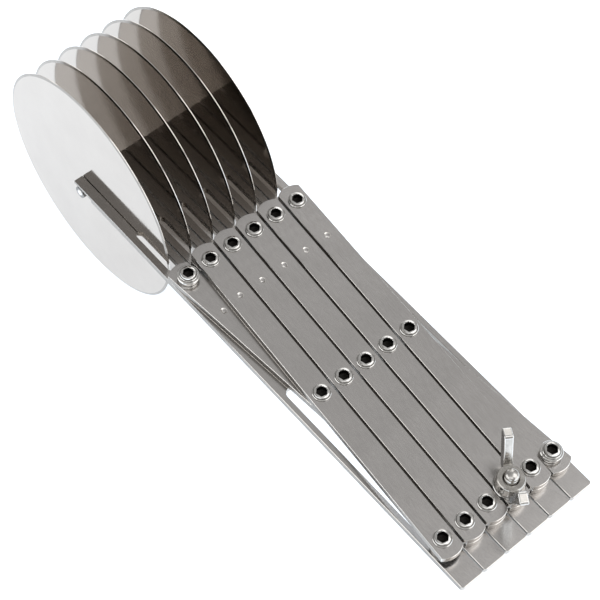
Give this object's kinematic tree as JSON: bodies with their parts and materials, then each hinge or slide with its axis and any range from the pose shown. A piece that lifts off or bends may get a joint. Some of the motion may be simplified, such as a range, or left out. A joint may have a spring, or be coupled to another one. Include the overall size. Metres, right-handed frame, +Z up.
{
  "type": "pastry cutter wheel",
  "caption": "Expanding pastry cutter: thin round discs on slotted parallel arms, spread evenly by a lazy-tongs lattice and locked by a wing nut.",
  "frame": {"origin": "centre of the bounding box in plan, on the surface that the tool stands on", "axes": "+Z up from that surface; +X lengthwise, from the discs to the tails of the arms; +Y across the arms, from column 1 to column 6. The discs and the underside edges of the arms' tails touch z = 0, so the lattice leans by 13.6 degrees. Its normal is (0.236, 0, 0.972)."},
  "size_m": [0.3678, 0.0898, 0.1397],
  "materials": {
    "bar_steel": "satin, fine lengthwise grain, polished edges",
    "disc_steel": "mirror polished, with a ground bevel at the rim",
    "fastener_steel": "bright turned steel",
    "wing_nut_steel": "bright cast and tumbled steel"
  },
  "bodies": {
    "arm_1": {"arm_1": "bar_steel", "axle_bolt_1": "fastener_steel", "axle_nut_1": "fastener_steel", "wheel_pivot_1": "fastener_steel", "spacer_wheel_first": "fastener_steel"},
    "wheel_1": {"wheel_1": "disc_steel"},
    "arm_2": {"arm_2": "bar_steel", "axle_bolt_2": "fastener_steel", "axle_nut_2": "fastener_steel", "wheel_pivot_2": "fastener_steel"},
    "wheel_2": {"wheel_2": "disc_steel"},
    "arm_3": {"arm_3": "bar_steel", "axle_bolt_3": "fastener_steel", "axle_nut_3": "fastener_steel", "wheel_pivot_3": "fastener_steel"},
    "wheel_3": {"wheel_3": "disc_steel"},
    "arm_4": {"arm_4": "bar_steel", "axle_bolt_4": "fastener_steel", "axle_nut_4": "fastener_steel", "wheel_pivot_4": "fastener_steel"},
    "wheel_4": {"wheel_4": "disc_steel"},
    "arm_5": {"arm_5": "bar_steel", "axle_bolt_5": "fastener_steel", "axle_nut_5": "fastener_steel", "wheel_pivot_5": "fastener_steel"},
    "wheel_5": {"wheel_5": "disc_steel"},
    "arm_6": {"arm_6": "bar_steel", "axle_bolt_6": "fastener_steel", "axle_nut_6": "fastener_steel", "wheel_pivot_6": "fastener_steel", "spacer_wheel_last": "fastener_steel"},
    "wheel_6": {"wheel_6": "disc_steel"},
    "lower_link_1": {"lower_link_1": "bar_steel"},
    "upper_link_1": {"upper_link_1": "bar_steel", "mid_pivot_1": "fastener_steel", "tail_pivot_1": "fastener_steel", "spacer_tail_first": "fastener_steel"},
    "lower_link_2": {"lower_link_2": "bar_steel"},
    "upper_link_2": {"upper_link_2": "bar_steel", "mid_pivot_2": "fastener_steel", "tail_pivot_2": "fastener_steel"},
    "lower_link_3": {"lower_link_3": "bar_steel"},
    "upper_link_3": {"upper_link_3": "bar_steel", "mid_pivot_3": "fastener_steel", "tail_pivot_3": "fastener_steel"},
    "lower_link_4": {"lower_link_4": "bar_steel"},
    "upper_link_4": {"upper_link_4": "bar_steel", "mid_pivot_4": "fastener_steel", "clamp_stud": "fastener_steel", "clamp_washer": "fastener_steel"},
    "lower_link_5": {"lower_link_5": "bar_steel", "tail_pivot_6": "fastener_steel", "spacer_tail_last": "fastener_steel"},
    "upper_link_5": {"upper_link_5": "bar_steel", "mid_pivot_5": "fastener_steel", "tail_pivot_5": "fastener_steel"},
    "wing_nut": {"wing_nut": "wing_nut_steel"}
  },
  "joints": [
    {"name": "lattice_spread", "type": "hinge", "parent": "arm_3", "child": "lower_link_3", "pos_m": [-0.03037, -0.0075, 0.0552], "axis": [0.2358, 0, 0.9718], "range_deg": [0, 58]},
    {"name": "upper_link_3_turn", "type": "hinge", "parent": "lower_link_3", "child": "upper_link_3", "pos_m": [0.06404, 0, 0.03229], "axis": [0.2358, 0, 0.9718], "range_deg": [-116.5, 0.5]},
    {"name": "arm_4_turn", "type": "hinge", "parent": "upper_link_3", "child": "arm_4", "pos_m": [-0.03037, 0.0075, 0.0552], "axis": [0.2358, 0, 0.9718], "range_deg": [-0.5, 58.5]},
    {"name": "lower_link_4_turn", "type": "hinge", "parent": "arm_4", "child": "lower_link_4", "pos_m": [-0.03037, 0.0075, 0.0552], "axis": [0.2358, 0, 0.9718], "range_deg": [-0.5, 58.5]},
    {"name": "upper_link_4_turn", "type": "hinge", "parent": "lower_link_4", "child": "upper_link_4", "pos_m": [0.06404, 0.015, 0.03229], "axis": [0.2358, 0, 0.9718], "range_deg": [-116.5, 0.5]},
    {"name": "arm_5_turn", "type": "hinge", "parent": "upper_link_4", "child": "arm_5", "pos_m": [-0.03037, 0.0225, 0.0552], "axis": [0.2358, 0, 0.9718], "range_deg": [-0.5, 58.5]},
    {"name": "lower_link_5_turn", "type": "hinge", "parent": "arm_5", "child": "lower_link_5", "pos_m": [-0.03037, 0.0225, 0.0552], "axis": [0.2358, 0, 0.9718], "range_deg": [-0.5, 58.5]},
    {"name": "upper_link_5_turn", "type": "hinge", "parent": "lower_link_5", "child": "upper_link_5", "pos_m": [0.06404, 0.03, 0.03229], "axis": [0.2358, 0, 0.9718], "range_deg": [-116.5, 0.5]},
    {"name": "arm_6_turn", "type": "hinge", "parent": "upper_link_5", "child": "arm_6", "pos_m": [-0.03037, 0.0375, 0.0552], "axis": [0.2358, 0, 0.9718], "range_deg": [-0.5, 58.5]},
    {"name": "upper_link_2_turn", "type": "hinge", "parent": "arm_3", "child": "upper_link_2", "pos_m": [-0.03037, -0.0075, 0.0552], "axis": [0.2358, 0, 0.9718], "range_deg": [-58.5, 0.5]},
    {"name": "lower_link_2_turn", "type": "hinge", "parent": "upper_link_2", "child": "lower_link_2", "pos_m": [0.06404, -0.015, 0.03229], "axis": [0.2358, 0, 0.9718], "range_deg": [-0.5, 116.5]},
    {"name": "arm_2_turn", "type": "hinge", "parent": "lower_link_2", "child": "arm_2", "pos_m": [-0.03037, -0.0225, 0.0552], "axis": [0.2358, 0, 0.9718], "range_deg": [-58.5, 0.5]},
    {"name": "upper_link_1_turn", "type": "hinge", "parent": "arm_2", "child": "upper_link_1", "pos_m": [-0.03037, -0.0225, 0.0552], "axis": [0.2358, 0, 0.9718], "range_deg": [-58.5, 0.5]},
    {"name": "lower_link_1_turn", "type": "hinge", "parent": "upper_link_1", "child": "lower_link_1", "pos_m": [0.06404, -0.03, 0.03229], "axis": [0.2358, 0, 0.9718], "range_deg": [-0.5, 116.5]},
    {"name": "arm_1_turn", "type": "hinge", "parent": "lower_link_1", "child": "arm_1", "pos_m": [-0.03037, -0.0375, 0.0552], "axis": [0.2358, 0, 0.9718], "range_deg": [-58.5, 0.5]},
    {"name": "wheel_1_spin", "type": "hinge", "parent": "arm_1", "child": "wheel_1", "pos_m": [-0.11408, -0.038, 0.06985], "axis": [0, 1, 0], "continuous": true},
    {"name": "wheel_2_spin", "type": "hinge", "parent": "arm_2", "child": "wheel_2", "pos_m": [-0.11408, -0.023, 0.06985], "axis": [0, 1, 0], "continuous": true},
    {"name": "wheel_3_spin", "type": "hinge", "parent": "arm_3", "child": "wheel_3", "pos_m": [-0.11408, -0.008, 0.06985], "axis": [0, 1, 0], "continuous": true},
    {"name": "wheel_4_spin", "type": "hinge", "parent": "arm_4", "child": "wheel_4", "pos_m": [-0.11408, 0.007, 0.06985], "axis": [0, 1, 0], "continuous": true},
    {"name": "wheel_5_spin", "type": "hinge", "parent": "arm_5", "child": "wheel_5", "pos_m": [-0.11408, 0.022, 0.06985], "axis": [0, 1, 0], "continuous": true},
    {"name": "wheel_6_spin", "type": "hinge", "parent": "arm_6", "child": "wheel_6", "pos_m": [-0.11408, 0.037, 0.06985], "axis": [0, 1, 0], "continuous": true},
    {"name": "wing_nut_turn", "type": "hinge", "parent": "upper_link_4", "child": "wing_nut", "pos_m": [0.16081, 0.0075, 0.0191], "axis": [0.2358, 0, 0.9718], "continuous": true}
  ],
  "couplings": [
    {"joint": "upper_link_3_turn", "follows": "lattice_spread", "ratio": -2},
    {"joint": "arm_4_turn", "follows": "lattice_spread", "ratio": 1},
    {"joint": "lower_link_4_turn", "follows": "lattice_spread", "ratio": 1},
    {"joint": "upper_link_4_turn", "follows": "lattice_spread", "ratio": -2},
    {"joint": "arm_5_turn", "follows": "lattice_spread", "ratio": 1},
    {"joint": "lower_link_5_turn", "follows": "lattice_spread", "ratio": 1},
    {"joint": "upper_link_5_turn", "follows": "lattice_spread", "ratio": -2},
    {"joint": "arm_6_turn", "follows": "lattice_spread", "ratio": 1},
    {"joint": "upper_link_2_turn", "follows": "lattice_spread", "ratio": -1},
    {"joint": "lower_link_2_turn", "follows": "lattice_spread", "ratio": 2},
    {"joint": "arm_2_turn", "follows": "lattice_spread", "ratio": -1},
    {"joint": "upper_link_1_turn", "follows": "lattice_spread", "ratio": -1},
    {"joint": "lower_link_1_turn", "follows": "lattice_spread", "ratio": 2},
    {"joint": "arm_1_turn", "follows": "lattice_spread", "ratio": -1}
  ]
}
